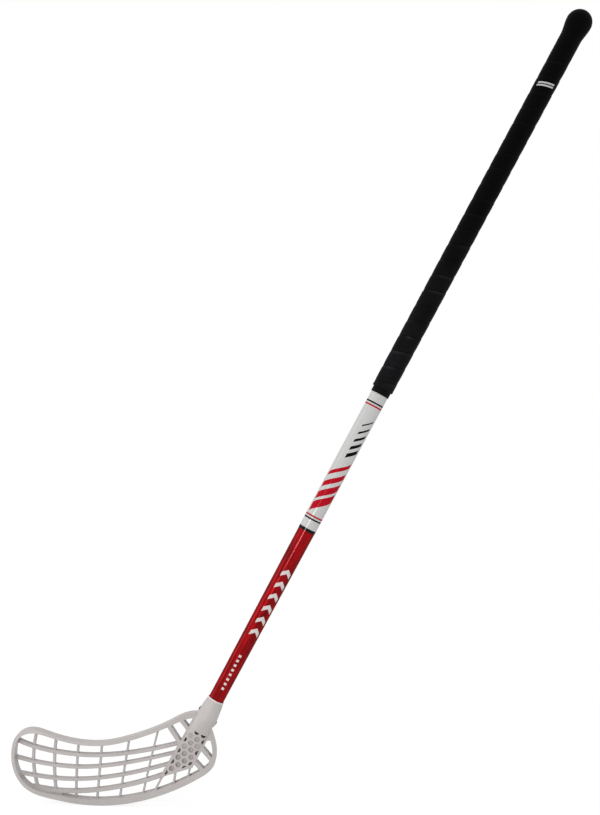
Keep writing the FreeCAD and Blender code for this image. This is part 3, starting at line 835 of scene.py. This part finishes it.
def floor_finish():
    """Pale floor that shows white with a soft shadow near the stick and gives a plain bounce."""
    material = bpy.data.materials.new("pale_floor")
    material.use_nodes = True
    tree = material.node_tree
    tree.nodes.clear()

    def diffuse(level):
        node = tree.nodes.new("ShaderNodeBsdfDiffuse")
        node.inputs["Color"].default_value = (level, level, level, 1.0)
        return node.outputs[0]

    def glow(strength):
        node = tree.nodes.new("ShaderNodeEmission")
        node.inputs["Strength"].default_value = strength
        return node.outputs[0]

    def joined(kind, *parts):
        node = tree.nodes.new(kind)
        for socket, part in zip(node.inputs, parts):
            tree.links.new(part, socket)
        return node.outputs[0]

    place = tree.nodes.new("ShaderNodeTexCoord")
    reach = tree.nodes.new("ShaderNodeVectorMath")
    reach.operation = "DISTANCE"
    reach.inputs[1].default_value = (FOOT.x, FOOT.y, FLOOR_LEVEL)
    tree.links.new(place.outputs["Object"], reach.inputs[0])
    far = tree.nodes.new("ShaderNodeMapRange")
    far.interpolation_type = "SMOOTHSTEP"
    far.inputs["From Min"].default_value = SHADOW_FROM
    far.inputs["From Max"].default_value = SHADOW_TO
    tree.links.new(reach.outputs["Value"], far.inputs["Value"])
    near = joined("ShaderNodeAddShader", diffuse(NEAR_SHADE), glow(NEAR_GLOW))
    shown = joined("ShaderNodeMixShader", far.outputs["Result"], near, glow(1.0))
    choice = joined("ShaderNodeMixShader", seen_directly(tree), diffuse(BOUNCE_SHADE), shown)
    output = tree.nodes.new("ShaderNodeOutputMaterial")
    tree.links.new(choice, output.inputs["Surface"])
    return material


class STICK_OT_studio(bpy.types.Operator):
    """Set up the floor, the lamps, the white room and the camera"""

    bl_idname = "stick.studio"
    bl_label = "Studio"

    def execute(self, context):
        look = context.scene.stick_studio
        scene = context.scene
        eye = Vector(look.eye)
        middle = Vector((eye.x, 0.0, eye.z))
        mesh = bpy.data.meshes.new("floor")
        signs = ((-1, -1), (1, -1), (1, 1), (-1, 1))
        corners = [(x * FLOOR_REACH, y * FLOOR_REACH, FLOOR_LEVEL) for x, y in signs]
        mesh.from_pydata(corners, [], [(0, 1, 2, 3)])
        mesh.materials.append(floor_finish())
        floor = bpy.data.objects.new("floor", mesh)
        scene.collection.objects.link(floor)

        soft_lamp("key_lamp", middle + KEY_PLACE, middle, UP, KEY_SIZE, look.key)
        soft_lamp("fill_lamp", middle + FILL_PLACE, middle, UP, FILL_SIZE, look.fill)
        above = middle + OVERHEAD_PLACE
        soft_lamp("overhead_lamp", above, middle, -FRONT, OVERHEAD_SIZE, look.overhead)
        beside = shaft_point(STREAK_HEIGHT, STREAK_ANGLE, -eye.y)
        soft_lamp("streak_lamp", beside, UP * STREAK_HEIGHT, UP, STREAK_SIZE, look.streak)

        world = bpy.data.worlds.new("white_room")
        scene.world = world
        world.use_nodes = True
        tree = world.node_tree
        back = tree.nodes["Background"]
        back.inputs["Color"].default_value = (1.0, 1.0, 1.0, 1.0)
        level = tree.nodes.new("ShaderNodeMapRange")
        level.inputs["To Min"].default_value = look.room
        level.inputs["To Max"].default_value = 1.0
        tree.links.new(seen_directly(tree), level.inputs["Value"])
        tree.links.new(level.outputs["Result"], back.inputs["Strength"])

        camera = bpy.data.cameras.new("camera")
        camera.lens = look.lens
        camera.sensor_width = SENSOR_WIDTH
        holder = bpy.data.objects.new("camera", camera)
        holder.location = eye
        holder.rotation_euler = (math.pi / 2, 0.0, 0.0)
        scene.collection.objects.link(holder)
        scene.camera = holder
        scene.view_settings.view_transform = "Standard"
        return {"FINISHED"}


STEPS = (STICK_OT_shaft, STICK_OT_grip, STICK_OT_blade, STICK_OT_screws, STICK_OT_studio)
LOOKS = {
    "stick_shaft": ShaftLook,
    "stick_grip": GripLook,
    "stick_blade": BladeLook,
    "stick_studio": StudioLook,
}


class STICK_PT_sidebar(bpy.types.Panel):
    """Steps that dress the stick, with their values"""

    bl_idname = "STICK_PT_sidebar"
    bl_label = "Floorball stick"
    bl_space_type = "VIEW_3D"
    bl_region_type = "UI"
    bl_category = "Stick"

    def draw(self, context):
        for name, kind in LOOKS.items():
            box = self.layout.box()
            for key in kind.__annotations__:
                box.prop(getattr(context.scene, name), key)
        for step in STEPS:
            self.layout.operator(step.bl_idname)


def register():
    for kind in (*LOOKS.values(), *STEPS, STICK_PT_sidebar):
        bpy.utils.register_class(kind)
    for name, kind in LOOKS.items():
        setattr(bpy.types.Scene, name, PointerProperty(type=kind))


def unregister():
    for name in LOOKS:
        delattr(bpy.types.Scene, name)
    for kind in reversed((*LOOKS.values(), *STEPS, STICK_PT_sidebar)):
        bpy.utils.unregister_class(kind)


def main():
    register()
    bpy.ops.stick.shaft()
    bpy.ops.stick.grip()
    bpy.ops.stick.blade()
    bpy.ops.stick.screws()
    bpy.ops.stick.studio()


if __name__ == "__main__":
    main()
